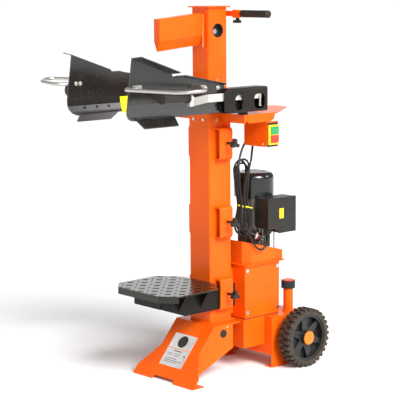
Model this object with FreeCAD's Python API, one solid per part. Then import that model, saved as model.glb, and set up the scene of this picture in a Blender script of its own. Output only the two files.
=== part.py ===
import FreeCAD
import Part
import math
import os

# Vertical hydraulic log splitter. Millimetres, +Z up, -Y is the working side
# with the wedge, +X the side with the switch. Origin on the floor, centred.

V = FreeCAD.Vector

shift_y = 86.56           # column axis sits this far behind the origin
wheel_dia = 250.0
wheel_width = 58.0
axle_y = 328.0
column_x = 126.0
column_y = 120.0
column_wall = 6.0
column_base = 218.0
column_top = 1085.0
ram_x = 104.0
ram_y = 102.0
ram_wall = 5.0
ram_bottom = 560.0
ram_top = 1513.0
pin_z = 1416.0
foot_slope_top = -89.0
foot_slope_toe = -273.0
plate = 4.0
bracket_z = [270.0, 571.0, 895.0]
bracket_height = 133.0
bracket_out = 97.0
table_top = 393.0
tray_z = 1086.0
tray_half = 200.0
arm_x = 186.0
pivot_x = 176.0
pivot_y = 20.0
motor_x = 15.0
motor_y = 236.0
filler_y = 340.0
cable_dia = 9.0


def box(x0, x1, y0, y1, z0, z1):
    return Part.makeBox(x1 - x0, y1 - y0, z1 - z0, V(x0, y0, z0))


def cyl(r, start, axis, length):
    return Part.makeCylinder(r, length, V(*start), V(*axis))


def poly(points):
    pts = [V(*p) for p in points]
    return Part.Face(Part.makePolygon(pts + [pts[0]]))


def prism_x(points, x0, x1):
    # outline in Y,Z pushed along X
    return poly([(x0, p[0], p[1]) for p in points]).extrude(V(x1 - x0, 0, 0))


def prism_y(points, y0, y1):
    # outline in X,Z pushed along Y
    return poly([(p[0], y0, p[1]) for p in points]).extrude(V(0, y1 - y0, 0))


def prism_z(points, z0, z1):
    # outline in X,Y pushed along Z
    return poly([(p[0], p[1], z0) for p in points]).extrude(V(0, 0, z1 - z0))


def join(shapes):
    body = shapes[0]
    for s in shapes[1:]:
        body = body.fuse(s)
    return body.removeSplitter()


def mirror(shape):
    return shape.mirror(V(0, 0, 0), V(1, 0, 0))


def pair(shapes):
    return shapes + [mirror(s) for s in shapes]


def rounded(shape, radius, pick):
    edges = [e for e in shape.Edges if pick(e)]
    return shape.makeFillet(radius, edges)


def upright(edge):
    d = edge.Vertexes[-1].Point - edge.Vertexes[0].Point
    return len(edge.Vertexes) == 2 and abs(d.x) < 0.01 and abs(d.y) < 0.01


def square_tube(wx, wy, wall, z0, z1, radius):
    outer = rounded(box(-wx / 2, wx / 2, -wy / 2, wy / 2, z0, z1), radius, upright)
    ix = wx / 2 - wall
    iy = wy / 2 - wall
    inner = rounded(box(-ix, ix, -iy, iy, z0 - 1, z1 + 1), max(radius - wall, 1.0), upright)
    return outer.cut(inner)


def bend_points(points):
    # straight runs joined by tangent arcs, radius from the shorter run
    edges = []
    radii = []
    length = 0.0
    here = points[0]
    for i in range(1, len(points) - 1):
        before = (points[i - 1] - points[i])
        after = (points[i + 1] - points[i])
        run = min(before.Length, after.Length)
        turn = math.pi - before.getAngle(after)
        back = 0.45 * run
        radius = back / math.tan(turn / 2)
        start = points[i] + V(before).normalize() * back
        end = points[i] + V(after).normalize() * back
        to_centre = (V(before).normalize() + V(after).normalize()).normalize()
        centre = points[i] + to_centre * (radius / math.cos(turn / 2))
        middle = centre - to_centre * radius
        edges.append(Part.LineSegment(here, start).toShape())
        edges.append(Part.Arc(start, middle, end).toShape())
        length = length + (start - here).Length + radius * turn
        radii.append(radius)
        here = end
    edges.append(Part.LineSegment(here, points[-1]).toShape())
    length = length + (points[-1] - here).Length
    return Part.Wire(edges), radii, length


def tube(points, radius, name, report=False):
    pts = [V(*p) for p in points]
    path, radii, length = bend_points(pts)
    direction = pts[1] - pts[0]
    ring = Part.Wire(Part.makeCircle(radius, pts[0], direction))
    solid = path.makePipeShell([ring], True, False)
    if report:
        want = math.pi * radius * radius * length
        print(name, "length", round(length), "radii", [round(r) for r in radii],
              "volume ratio", round(solid.Volume / want, 4))
    return solid


# ---- the foot and column -------------------------------------------------

def base_foot():
    top = column_base
    slope = [(foot_slope_toe, 0), (foot_slope_top, top), (foot_slope_top + 5, top), (foot_slope_toe + 6.5, 0)]
    front = prism_x(slope, -187, 187)
    # trim to the flared outline seen from the front
    side = [(117, top + 1), (117, 118), (187, 34), (187, -1), (260, -1), (260, top + 1)]
    front = front.cut(prism_y(side, -300, 0)).cut(mirror(prism_y(side, -300, 0)))
    front = front.cut(box(-66, 61, -300, -200, -1, 14))
    flank = [(-266, 4), (-232, 4), (16, 113), (16, top - 5), (foot_slope_top + 2, top - 5)]
    sides = pair([prism_x(flank, 112, 117)])
    hole = cyl(14, (60, -38, 181), (1, 0, 0), 100)
    lid = box(-117, 117, foot_slope_top + 2, 59, top - 5, top)
    lid = lid.cut(box(-52, 52, -48, 48, 0, 500))
    tab = box(187 - 52, 187, foot_slope_toe + 3, foot_slope_toe + 63, 0, 5)
    tab = tab.cut(cyl(5.5, (158, foot_slope_toe + 38, -1), (0, 0, 1), 10))
    web = box(-112, 112, 12, 16, 113, top - 4)
    tongue = box(-60, 60, 55, 79, top - 5, top)
    body = join([front] + sides + [lid, web, tongue] + pair([tab]))
    return body.cut(hole).cut(mirror(hole))


def fixed_column():
    tube_ = square_tube(column_x, column_y, column_wall, column_base, column_top, 6)
    ribs = pair([box(36, 42, column_y / 2 - 1, 88, 236, 430)])
    return join([tube_.cut(cyl(12, (0, 40, 640), (0, 1, 0), 40))] + ribs)


def guide_pads():
    pads = []
    for z in (762, 1000):
        for side in (-1, 1):
            x0 = ram_x / 2 + 0.08
            x1 = column_x / 2 - column_wall
            y0 = ram_y / 2 + 0.08
            y1 = column_y / 2 - column_wall
            px = box(x0, x1, -38, 38, z, z + 80)
            py = box(-38, 38, y0, y1, z, z + 80)
            if side < 0:
                px = mirror(px)
                py = py.mirror(V(0, 0, 0), V(0, 1, 0))
            pads.append(px)
            pads.append(py)
    return Part.makeCompound(pads)


def cylinder_barrel():
    outer = cyl(30, (0, 0, 222), (0, 0, 1), 748)
    head = cyl(34, (0, 0, 930), (0, 0, 1), 40)
    bore = cyl(25, (0, 0, 240), (0, 0, 1), 690)
    neck = cyl(14.06, (0, 0, 900), (0, 0, 1), 100)
    base = box(-20, 20, -30, 11.5, 176, 224)
    pin = cyl(9, (-111.9, 0, 196), (1, 0, 0), 223.8)
    return join([outer, head, base, pin]).cut(bore).cut(neck)


def table_bracket(z0):
    h = bracket_height
    outer = rounded(box(column_x / 2 - 8, bracket_out, -32, 36, z0, z0 + h), 15,
                    lambda e: abs(e.CenterOfMass.x - bracket_out) < 0.1 and e.Length > 50
                    and abs(e.CenterOfMass.y - 2) < 1)
    inner = rounded(box(column_x / 2 - 12, bracket_out - 7, -40, 40, z0 + 7, z0 + h - 7), 8,
                    lambda e: abs(e.CenterOfMass.x - bracket_out + 7) < 0.1 and e.Length > 60
                    and abs(e.CenterOfMass.y) < 1)
    strap = outer.cut(inner).cut(box(0, column_x / 2, -50, 50, z0 - 1, z0 + h + 1))
    return strap


def table_brackets():
    items = []
    for z0 in bracket_z:
        strap = table_bracket(z0)
        hole = cyl(6, (80, 2, z0 + 71), (1, 0, 0), 30)
        nut = cyl(9, (bracket_out, 2, z0 + 71), (1, 0, 0), 6).cut(cyl(6, (90, 2, z0 + 71), (1, 0, 0), 20))
        items.append(join([strap.cut(hole), nut]))
        items.append(mirror(strap))
    return Part.makeCompound(items)


# ---- rear frame, tank and pump cover ---------------------------------------

def rear_frame():
    top = column_base
    cheek = [(200, 0), (300, 0), (392, 62), (392, top), (200, top)]
    axle_hole = cyl(10.05, (140, axle_y, 125), (1, 0, 0), 40)
    cheeks = pair([prism_x(cheek, 156, 160).cut(axle_hole)])
    cross = box(-157, 157, 200, 204, 54, top)
    back = box(-157, 157, 388, 392, 66, top)
    lid = box(-157, 157, 200, 392, top - 4, top).cut(cyl(21, (118, filler_y, 200), (0, 0, 1), 40))
    floor = box(-157, 157, 202, 390, 66, 70)
    tab = box(119, 158, 200, 252, 0, 5)
    tab = tab.cut(cyl(5.5, (138, 228, -1), (0, 0, 1), 10))
    sleeve = cyl(15, (-157, axle_y, 125), (1, 0, 0), 314).cut(cyl(10.05, (-170, axle_y, 125), (1, 0, 0), 340))
    body = join(cheeks + [cross, back, lid, floor, sleeve] + pair([tab]))
    return body


def oil_tank():
    shell = box(-116, 116, 79, 199.9, 97, column_base)
    return shell.cut(box(-112, 112, 83, 195.9, 101, column_base - 4))


def tank_gasket():
    sheet = box(-113, 113, 90, 286, column_base, column_base + 4)
    return sheet.cut(box(-98, 98, 104, 272, 200, 240))


def pump_cover():
    z0 = column_base + 4
    shell = box(-115, 115, 88, 288, z0, 446)
    shell = shell.cut(box(-112, 112, 91, 285, z0 - 1, 443))
    hole = cyl(32, (motor_x, motor_y - 48, 430), (0, 0, 1), 30)
    for y in (100.0, 276.0):
        for z in (246.0, 424.0):
            bore = cyl(4.0, (-130, y, z), (1, 0, 0), 260)
            shell = shell.cut(bore)
    return shell.cut(hole)


def frame_bolts():
    items = []
    for y in (100.0, 276.0):
        for z in (246.0, 424.0):
            head = cyl(8, (115, y, z), (1, 0, 0), 3.5)
            shank = cyl(4, (106, y, z), (1, 0, 0), 9)
            items.extend(pair([head.fuse(shank).removeSplitter()]))
    for x in (-30.0, 27.0):
        items.append(cyl(6, (x, -column_y / 2 - 4, 1060), (0, 1, 0), 4))
    items.extend(pair([cyl(6, (column_x / 2, -24, 1060), (1, 0, 0), 4)]))
    items.append(cyl(4, (106, 268, 450), (0, 0, 1), 128))
    return Part.makeCompound(items)


def motor_tray():
    lip = rounded(box(-130, 130, 82, 316, 446, 450), 14, upright)
    lip = lip.cut(cyl(33, (118, filler_y, 440), (0, 0, 1), 20))
    outline = [(-90, 94), (90, 94), (118, 122), (118, 305), (-118, 305), (-118, 122)]
    inside = [(-88, 98), (88, 98), (114, 124), (114, 301), (-114, 301), (-114, 124)]
    wall = prism_z(outline, 446, 560).cut(prism_z(inside, 450, 570))
    slope = [(80, 548), (94, 546), (320, 486), (320, 600), (80, 600)]
    wall = wall.cut(prism_x(slope, -140, 140))
    return join([lip, wall]).cut(cyl(32, (motor_x, motor_y - 48, 430), (0, 0, 1), 30))


# ---- electric motor ----------------------------------------------------------

def motor_body():
    at = (motor_x, motor_y)
    flange = box(at[0] - 64, at[0] + 64, at[1] - 64, at[1] + 64, 450, 466)
    flange = rounded(flange, 18, upright)
    bell = Part.makeCone(56, 62, 20, V(at[0], at[1], 466))
    frame = cyl(62, (at[0], at[1], 484), (0, 0, 1), 236)
    body = flange.fuse(bell).fuse(frame)
    for i in range(28):
        angle = math.radians(i * 360.0 / 28)
        fin = box(58, 69, -1.6, 1.6, 500, 708)
        fin.rotate(V(0, 0, 0), V(0, 0, 1), math.degrees(angle))
        fin.translate(V(at[0], at[1], 0))
        body = body.fuse(fin)
    top = cyl(66, (at[0], at[1], 706), (0, 0, 1), 12)
    pad = box(at[0] + 50, 101, at[1] - 45, at[1] + 45, 600, 700)
    body = body.fuse(top).fuse(pad).removeSplitter()
    bore = cyl(45, (at[0], at[1], 490), (0, 0, 1), 216)
    shaft = cyl(12.06, (at[0], at[1], 440), (0, 0, 1), 300)
    return body.cut(bore).cut(shaft)


def motor_rotor():
    at = (motor_x, motor_y)
    shaft = cyl(12, (at[0], at[1], 470), (0, 0, 1), 300)
    core = cyl(43, (at[0], at[1], 510), (0, 0, 1), 170)
    hub = cyl(24, (at[0], at[1], 734), (0, 0, 1), 40)
    disc = cyl(66, (at[0], at[1], 734), (0, 0, 1), 4)
    body = shaft.fuse(core).fuse(hub).fuse(disc)
    for i in range(7):
        blade = box(20, 66, -1.5, 1.5, 736, 772)
        blade.rotate(V(0, 0, 0), V(0, 0, 1), i * 360.0 / 7)
        blade.translate(V(at[0], at[1], 0))
        body = body.fuse(blade)
    return body.removeSplitter()


def fan_cover():
    at = (motor_x, motor_y)
    outer = cyl(85, (at[0], at[1], 718), (0, 0, 1), 104)
    outer = rounded(outer, 26, lambda e: abs(e.BoundBox.ZMin - 822) < 0.1)
    inner = cyl(82, (at[0], at[1], 717), (0, 0, 1), 102)
    inner = rounded(inner, 23, lambda e: abs(e.BoundBox.ZMin - 819) < 0.1)
    shell = outer.cut(inner)
    for i in range(-5, 6):
        y = i * 9.0
        half = math.sqrt(56.0 * 56.0 - y * y)
        slot = box(at[0] - half, at[0] + half, at[1] + y - 2.6, at[1] + y + 2.6, 815, 830)
        rib = box(at[0] - 2.5, at[0] + 2.5, at[1] + y - 4, at[1] + y + 4, 810, 835)
        shell = shell.cut(slot.cut(rib))
    ring = cyl(82.5, (at[0], at[1], 718), (0, 0, 1), 4).cut(cyl(62.4, (at[0], at[1], 700), (0, 0, 1), 40))
    return shell.fuse(ring).removeSplitter()


def terminal_box():
    side = [(161, 600), (200, 600), (226, 578), (321, 578), (321, 724), (161, 724)]
    case = prism_x(side, 101, 172)
    case = case.cut(prism_x([(165, 604), (202, 604), (228, 582), (317, 582), (317, 720), (165, 720)], 105, 173))
    lid = rounded(prism_x([(159, 598), (201, 598), (227, 576), (323, 576), (323, 726), (159, 726)], 172, 181), 3,
                  lambda e: abs(e.CenterOfMass.x - 181) < 0.1)
    nut = cyl(13, (146, 190, 576), (0, 0, 1), 24)
    tail = Part.makeCone(6.0, 12, 14, V(146, 190, 562))
    gland = join([nut, tail])
    return Part.makeCompound([case, lid, gland])


def filler_pipe():
    pipe = cyl(21, (118, filler_y, column_base), (0, 0, 1), 100)
    collar = cyl(25, (118, filler_y, column_base), (0, 0, 1), 5)
    return join([pipe, collar]).cut(cyl(17.5, (118, filler_y, 200), (0, 0, 1), 140))


def filler_cap():
    cap = cyl(30, (118, filler_y, 320), (0, 0, 1), 32)
    for i in range(24):
        a = math.radians(i * 15)
        groove = cyl(2.2, (118 + 30.6 * math.cos(a), filler_y + 30.6 * math.sin(a), 310), (0, 0, 1), 36)
        cap = cap.cut(groove)
    plug = cyl(17.3, (118, filler_y, 296), (0, 0, 1), 26)
    stick = cyl(3, (118, filler_y, 150), (0, 0, 1), 150)
    return join([cap, plug, stick])


def foot_plugs():
    head = cyl(17, (117, -38, 181), (1, 0, 0), 3)
    stem = cyl(13.7, (108, -38, 181), (1, 0, 0), 10)
    return Part.makeCompound(pair([join([head, stem])]))


def hydraulic_pipes():
    items = []
    for x in (-32.0, -9.0):
        pts = [V(x, 87.5, 450), V(x, 87.5, 520), V(x, 78, 620), V(x, 78, 985)]
        wire, radii, length = bend_points(pts)
        ring = Part.Wire(Part.makeCircle(5, pts[0], pts[1] - pts[0]))
        items.append(wire.makePipeShell([ring], True, False))
    return Part.makeCompound(items)


def valve_block():
    block = box(-48, 12, 60, 104, 985, 1062)
    return block.cut(cyl(9.06, (0, 92, 970), (0, 0, 1), 120))


def valve_rod():
    return cyl(9, (0, 92, 970), (0, 0, 1), 104)


# ---- wheels ------------------------------------------------------------------

def wheel_axle():
    return cyl(10, (-251, axle_y, 125), (1, 0, 0), 502)


def tyre():
    x0 = 194.5
    x1 = x0 + wheel_width
    ring = cyl(118, (x0 + 3, axle_y, 125), (1, 0, 0), wheel_width - 6)
    ring = ring.fuse(cyl(112, (x0, axle_y, 125), (1, 0, 0), wheel_width))
    for i in range(30):
        a = i * 12.0
        for half in (0, 1):
            lug = box(x0 + 1 + half * 29, x0 + 28 + half * 29, -9, 9, 108, 125)
            lug = lug.cut(box(x0 - 5, x1 + 5, 4, 20, 90, 130))
            lug.rotate(V(0, 0, 0), V(1, 0, 0), a + half * 6.0)
            lug.translate(V(0, axle_y, 125))
            ring = ring.fuse(lug)
    ring = ring.common(cyl(wheel_dia / 2, (x0 - 5, axle_y, 125), (1, 0, 0), wheel_width + 10))
    return ring.cut(cyl(97.5, (x0 - 5, axle_y, 125), (1, 0, 0), wheel_width + 10)).removeSplitter()


def rim():
    x0 = 194.5
    band = cyl(97.5, (x0 + 4, axle_y, 125), (1, 0, 0), 50).cut(cyl(88, (x0, axle_y, 125), (1, 0, 0), 60))
    hub = cyl(27, (x0 - 6, axle_y, 125), (1, 0, 0), 58)
    web = cyl(90, (x0 + 22, axle_y, 125), (1, 0, 0), 5)
    body = band.fuse(hub).fuse(web)
    for i in range(6):
        spoke = prism_x([(-20, 20), (20, 20), (9, 92), (-9, 92)], x0 + 14, x0 + 42)
        spoke.rotate(V(0, 0, 0), V(1, 0, 0), i * 60.0 + 10)
        spoke.translate(V(0, axle_y, 125))
        body = body.fuse(spoke)
    cap = cyl(29, (x0 + 50, axle_y, 125), (1, 0, 0), 9)
    bore = cyl(10.06, (x0 - 20, axle_y, 125), (1, 0, 0), 77)
    return body.fuse(cap).cut(bore).removeSplitter()


# ---- ram, wedge and transport handle ------------------------------------------

def ram_column():
    body = square_tube(ram_x, ram_y, ram_wall, ram_bottom, ram_top, 9)
    cap = box(-62, 62, -61, 61, ram_top, ram_top + 5)
    lug = box(-28, -20, -46, 46, pin_z - 34, ram_top).cut(cyl(10.05, (-40, 0, pin_z), (1, 0, 0), 80))
    hole = cyl(29, (-80, 0, pin_z + 4), (1, 0, 0), 160)
    lugs = pair([lug])
    sleeve = box(-29, 29, 50.9, 62, 1462, 1500)
    return join([body.cut(hole), cap, sleeve] + lugs)


def splitting_wedge():
    side = [(-280, 1471), (-51, 1491), (-51, 1335), (-280, 1335)]
    blade = prism_x(side, -17, 17)
    y0 = -300
    y1 = -40
    z0 = 1382
    drop = 41.0
    for s in (-1, 1):
        lower = poly([(s * 17, y0, z0), (s * 60, y0, z0), (s * 60, y0, z0 - 160),
                      (0, y0, z0 - 160), (0, y0, z0 - drop)])
        cut = lower.extrude(V(0, y1 - y0, (y1 - y0) * 0.0875))
        blade = blade.cut(cut)
    return blade


def piston_rod():
    rod = cyl(14, (0, 0, 640), (0, 0, 1), 746)
    piston = cyl(24.93, (0, 0, 600), (0, 0, 1), 42)
    eye = box(-19, 19, -22, 22, 1380, pin_z + 26)
    eye = rounded(eye, 14, lambda e: abs(e.CenterOfMass.z - pin_z - 26) < 0.1 and e.Length > 37 and
                  abs(e.CenterOfMass.x) < 1)
    rod = join([rod, piston, eye]).cut(cyl(10.0, (-40, 0, pin_z), (1, 0, 0), 80))
    pin = cyl(10.0, (-34, 0, pin_z), (1, 0, 0), 68)
    return Part.makeCompound([rod, pin])


def transport_handle():
    bar = rounded(box(-26, 122, 62, 74, 1476, 1498), 4,
                  lambda e: abs(e.CenterOfMass.z - 1487) < 12 and e.Length > 100)
    core = cyl(9, (118, 68, 1487), (1, 0, 0), 150)
    lug = box(74, 100, 60, 84, 1470, 1502)
    return join([bar, core, lug]).cut(cyl(5, (87, 76, 1440), (0, 0, 1), 45))


def handle_grip():
    grip = cyl(14.5, (122, 68, 1487), (1, 0, 0), 148)
    end = cyl(15, (262, 68, 1487), (1, 0, 0), 10)
    for i in range(12):
        groove = cyl(16, (128 + i * 11, 68, 1487), (1, 0, 0), 4).cut(cyl(13.6, (124 + i * 11, 68, 1487), (1, 0, 0), 12))
        grip = grip.cut(groove)
    body = join([grip, end])
    return body.cut(cyl(9.0, (104, 68, 1487), (1, 0, 0), 164))


def star_knob(radius, thick):
    # tri-lobe knob on +X, bore face at x = 0
    boss = cyl(radius * 0.42, (0, 0, 0), (1, 0, 0), thick)
    body = boss
    for i in range(3):
        a = math.radians(90 + i * 120)
        lobe = cyl(radius * 0.34, (thick * 0.4, radius * 0.66 * math.cos(a), radius * 0.66 * math.sin(a)),
                   (1, 0, 0), thick * 0.6)
        arm = box(thick * 0.4, thick, -radius * 0.28, radius * 0.28, 0, radius * 0.66)
        arm.rotate(V(0, 0, 0), V(1, 0, 0), i * 120)
        body = body.fuse(lobe).fuse(arm)
    return body.removeSplitter()


def handle_knob():
    knob = star_knob(19, 20)
    stud = cyl(4.94, (-16, 0, 0), (1, 0, 0), 20)
    body = join([knob, stud])
    body.rotate(V(0, 0, 0), V(0, 1, 0), 90)
    body.translate(V(87, 76, 1468.9))
    return body


def table_knob(z0):
    knob = star_knob(21.5, 27)
    stud = cyl(5.94, (-41.5, 0, 0), (1, 0, 0), 43.5)
    body = join([knob, stud])
    body.translate(V(128, 2, z0 + 71))
    return body


# ---- table ---------------------------------------------------------------------

def table_plate():
    top = table_top
    outline = [(125, -395), (188, -340), (190, -133), (95, -64.5), (-95, -64.5),
               (-190, -133), (-188, -340), (-125, -395)]
    sheet = prism_z(outline, top - 5, top)
    rim = prism_z([(125, -395), (188, -340), (184, -338), (123, -390), (-123, -390),
                   (-184, -338), (-188, -340), (-125, -395)], top - 28, top - 2)
    bars = []
    step = 40.0
    for i in range(-6, 7):
        for j in range(-6, 7):
            x = i * step / 1.0
            y = -220 + j * step / 1.0
            if (i + j) % 2 == 0:
                angle = 45
            else:
                angle = -45
            if abs(x) < 176 and -382 < y < -84 and abs(x) + abs(y + 232) < 274:
                bar = box(-12, 12, -2.6, 2.6, 0, 1.6)
                bar.rotate(V(0, 0, 0), V(0, 0, 1), angle)
                bar.translate(V(x, y, top))
                bars.append(bar)
    body = sheet.fuse(rim)
    body = body.fuse(bars)
    return body.removeSplitter()


def table_frame():
    z1 = table_top - 5
    z0 = bracket_z[0] + 7.1
    arm = prism_x([(-343, 323), (-215, z0), (58, z0), (58, z1 - 12), (-62, z1 - 12), (-62, z1), (-343, z1)], 79, 86)
    arm = arm.cut(box(70, 90, -62.01, 70, z1 - 12, z1 + 5))
    arm = rounded(arm, 6, lambda e: abs(e.CenterOfMass.x - 86) < 0.01 and abs(e.CenterOfMass.z - z0) < 0.01)
    nose = box(-82, 82, -346, -340, 323, z1)
    gussets = []
    for y in (-252.0, -134.0):
        leg = prism_y([(85, 300), (85, z1), (148, z1)], y - 3, y + 3)
        flat = prism_x([(y, 300), (y - 48, z1), (y, z1)], 85, 90)
        gussets.append(leg)
        gussets.append(flat)
    stay = box(-82, 82, -120, -112, 330, z1)
    return join([nose, stay] + pair([arm]) + pair(gussets))


# ---- control tray, switch and arms ------------------------------------------------

def control_bracket():
    outline = [(200, 5), (200, 192), (142, 272), (58, 384), (36, 408), (-36, 408), (-58, 384),
               (-142, 272), (-200, 192), (-200, 5), (-63, 5), (-63, 60.2), (63, 60.2), (63, 5)]
    sheet = prism_z(outline, tray_z - 4, tray_z)
    sheet = rounded(sheet, 24, lambda e: upright(e) and abs(e.CenterOfMass.y - 192) < 1)
    nose = box(63.1, 200, 5, 9, 1051, tray_z)
    flank = prism_x([(5, 1051), (150, 1051), (172, 1060), (180, tray_z - 2), (5, tray_z - 2)], 196, 200)
    notch = cyl(8, (190, 22, 1051), (1, 0, 0), 20)
    post = cyl(8, (pivot_x, pivot_y, tray_z - 4), (0, 0, 1), 30)
    body = join([sheet] + pair([nose, flank.cut(notch), post]))
    return body.cut(cyl(12, (0, 92, 1000), (0, 0, 1), 200))


def switch_bracket():
    sheet = rounded(box(66, 195.9, 132, 135, 946, tray_z - 4), 10,
                    lambda e: e.CenterOfMass.z < 947 and e.Length < 4)
    side = box(195, 200, 132, 194, 949, 1050.9).cut(box(190, 197, 135, 200, 900, 1100))
    side = side.cut(box(190, 210, 140, 191, 960, 1032))
    return join([sheet, side])


def switch_housing():
    case = box(152, 196.8, 137, 192, 954, 1038)
    strip = box(200, 203, 134, 192, 947, 1045)
    strip = strip.cut(box(190, 210, 140, 191, 960, 1032))
    port = cyl(8, (142, 165, 1003), (1, 0, 0), 12)
    port2 = cyl(8, (142, 165, 975), (1, 0, 0), 12)
    case = case.cut(box(178, 200, 141, 190.4, 961, 1031))
    return Part.makeCompound([join([case, port, port2]), strip])


def switch_frame():
    body = box(203, 209, 134, 192, 955, 1037)
    well = box(178.1, 210, 144.9, 189.1, 997.9, 1029.1).fuse(box(178.1, 210, 144.9, 189.1, 962.9, 994.1))
    return rounded(body, 4, lambda e: abs(e.BoundBox.XLength - 6) < 0.1).cut(well)


def button(z0, z1):
    cap = box(186, 213, 145, 189, z0, z1)
    return rounded(cap, 2.5, lambda e: abs(e.CenterOfMass.x - 213) < 0.1)


def arm_housing():
    outer = rounded(box(148, 214, -88, 122, 1098, 1197), 9,
                    lambda e: abs(e.BoundBox.YLength - 210) < 0.1 and e.CenterOfMass.x > 200)
    inner = rounded(box(150.5, 211.5, -100, 119.5, 1100.5, 1194.5), 7,
                    lambda e: abs(e.BoundBox.YLength - 219.5) < 0.1 and e.CenterOfMass.x > 200)
    shell = outer.cut(inner)
    for y0, y1 in ((-56.0, -14.0), (48.0, 106.0)):
        r = (y1 - y0) / 2 - 2
        win = rounded(box(205, 220, y0, y1, 1110, 1170), min(r, 19),
                      lambda e: abs(e.BoundBox.XLength - 15) < 0.1)
        shell = shell.cut(win)
    saddle = box(150, arm_x - 2, -62, -42, 1099, 1196)
    lip = prism_z([(214, -88), (211, -113), (208.6, -113), (211.4, -88)], 1100, 1195)
    lip = rounded(lip, 20, lambda e: e.CenterOfMass.y < -112.9 and e.Length < 5)
    boss = cyl(20, (pivot_x, pivot_y, tray_z + 0.5), (0, 0, 1), 30)
    boss = boss.cut(cyl(8.06, (pivot_x, pivot_y, 1000), (0, 0, 1), 200))
    ear = box(188.5, 194, 26, 54, 1100.5, 1180)
    pin = cyl(7, (188, 40, 1160), (1, 0, 0), 23.6)
    return join([shell.cut(cyl(8.06, (pivot_x, pivot_y, 1000), (0, 0, 1), 200)), boss, ear, pin, saddle, lip])


def arm_guard():
    # flat blade with a hooked lower edge, top flange turned outwards
    t = 4.0
    outline = [(-562, 1337), (-574, 1250), (-587, 1160), (-588, 1140), (-584, 1122), (-572, 1107), (-556, 1099),
               (-541, 1097), (-60, 1103), (-5, 1104), (-5, 1190), (-91, 1190), (-92, 1215), (-160, 1230),
               (-310, 1258), (-360, 1258), (-369, 1271)]
    blank = prism_x(outline, 100, 260)
    sections = [(arm_x, 1400), (arm_x, 1160), (arm_x - 3, 1135), (arm_x - 10, 1112), (arm_x - 20, 1090)]
    left = [(p[0] - t / 2, p[1]) for p in sections]
    right = [(p[0] + t / 2, p[1]) for p in reversed(sections)]
    curved = prism_y(left + right, -600, -66)
    flat = box(arm_x - t / 2, arm_x + t / 2, -120, -5, 1090, 1300)
    front = curved.common(blank)
    rear = flat.common(blank)
    blend = front.fuse(rear)
    flange = poly([(arm_x, -562, 1333), (arm_x, -562, 1337), (arm_x + 56, -560, 1344), (arm_x + 56, -560, 1340)])
    flange = flange.extrude(V(0, 193, -66))
    lip = poly([(arm_x, -356, 1254), (arm_x, -356, 1258), (arm_x + 15, -352, 1262), (arm_x + 15, -352, 1258)])
    lip1 = lip.extrude(V(0, 46, 0))
    lip2 = poly([(arm_x, -310, 1254), (arm_x, -310, 1258), (arm_x + 15, -306, 1262),
                 (arm_x + 15, -306, 1258)]).extrude(V(0, 214, -43))
    claw = poly([(arm_x - 20, -535, 1103), (arm_x + 22, -522, 1068), (arm_x + 22, -352, 1068),
                 (arm_x - 20, -340, 1103)]).extrude(V(3.5, 0, 4.2))
    return join([blend, flange, lip1, lip2, claw])


def hand_guard():
    r = 7.0
    start = (arm_x + 2 + r, -548, 1222)
    path = [start, (arm_x + 9.5, -590, 1222), (222, -622, 1223), (436, -530, 1218), (488, -462, 1226),
            (236, -262, 1216)]
    rod = tube(path, r, "rod")
    front_tab = box(arm_x + 2, arm_x + 8, -562, -520, 1210, 1234)
    rear_tab = box(arm_x + 2, arm_x + 60, -268, -250, 1209, 1223)
    body = rod.fuse(front_tab).fuse(rear_tab).removeSplitter()
    return body


def lever_bar():
    z = 1165.0
    half = 15.5
    outline = [(291.5, -356), (206, -195), (206, 50), (199, 50), (199, -197), (284.5, -358)]
    bar = prism_z(outline, z - half, z + half)
    bar = bar.cut(cyl(7.06, (180, 40, 1160), (1, 0, 0), 60))
    core = cyl(12, (288, -352, 1180), (0, -1, 0.062), 140)
    lug = box(281, 295, -370, -352, z - half, 1191)
    tail = box(199, 206, 48.5, 94, 1150, 1172)
    return join([bar, core, lug, tail])


def grip():
    axis = V(0, -1, 0.062).normalize()
    at = V(288, -371, 1181.2)
    body = Part.makeCylinder(16.5, 132, at, axis)
    for d, r in ((0.0, 19.5), (124.0, 23.5)):
        collar = Part.makeCylinder(r, 10, at + axis * d, axis)
        body = body.fuse(collar)
    core = Part.makeCylinder(12, 400, V(288, -352, 1180) - axis * 100, axis)
    far = V(288, -352, 1180) + axis * 140
    core = Part.makeCylinder(12, 240, far - axis * 240, axis)
    return body.cut(core).removeSplitter()


# ---- cords -----------------------------------------------------------------------

# corner points of each cable, from where it leaves the machine
mains_route = [(142, 165, 1003), (100, 165, 1003), (70, 150, 975), (60, 132, 938), (68, 116, 900.5)]
motor_route = [(146, 190, 562), (146, 190, 523), (138, 153, 505), (131, 120, 538), (123, 100, 590),
               (109, 95, 650), (102, 98, 735), (103, 104, 800), (108, 128, 870), (92, 150, 908),
               (84, 163, 944), (102, 165, 979), (142, 165, 975)]
hank_top = 897.0
hank_bottom = 560.0


def mains_cord():
    return tube(mains_route, cable_dia / 2, "mains_cord", True)


def motor_cable():
    return tube(motor_route, cable_dia / 2, "motor_cable", True)


def mains_hank():
    body = box(60, 88, 81, 149, hank_bottom, hank_top)
    body = body.makeFillet(12, [e for e in body.Edges if e.Length > 100])
    return body


def mains_plug():
    start = V(80, 154.6, 572)
    along = V(24, 38, -20).normalize()
    body = Part.makeCone(8, 17, 34, start, along)
    face = Part.makeCylinder(18.5, 12, start + along * 33, along)
    return join([body, face])


# ---- write every piece -------------------------------------------------------------

def write(name, shape):
    moved = shape.copy()
    moved.translate(V(0, shift_y, 0))
    bb = moved.BoundBox
    bad = "" if moved.isValid() else "  NOT VALID"
    print("%-20s solids %2d  x %7.1f %7.1f  y %7.1f %7.1f  z %7.1f %7.1f%s" %
          (name, len(moved.Solids), bb.XMin, bb.XMax, bb.YMin, bb.YMax, bb.ZMin, bb.ZMax, bad))
    moved.exportStep("parts/" + name + ".step")
    return bb


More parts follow.
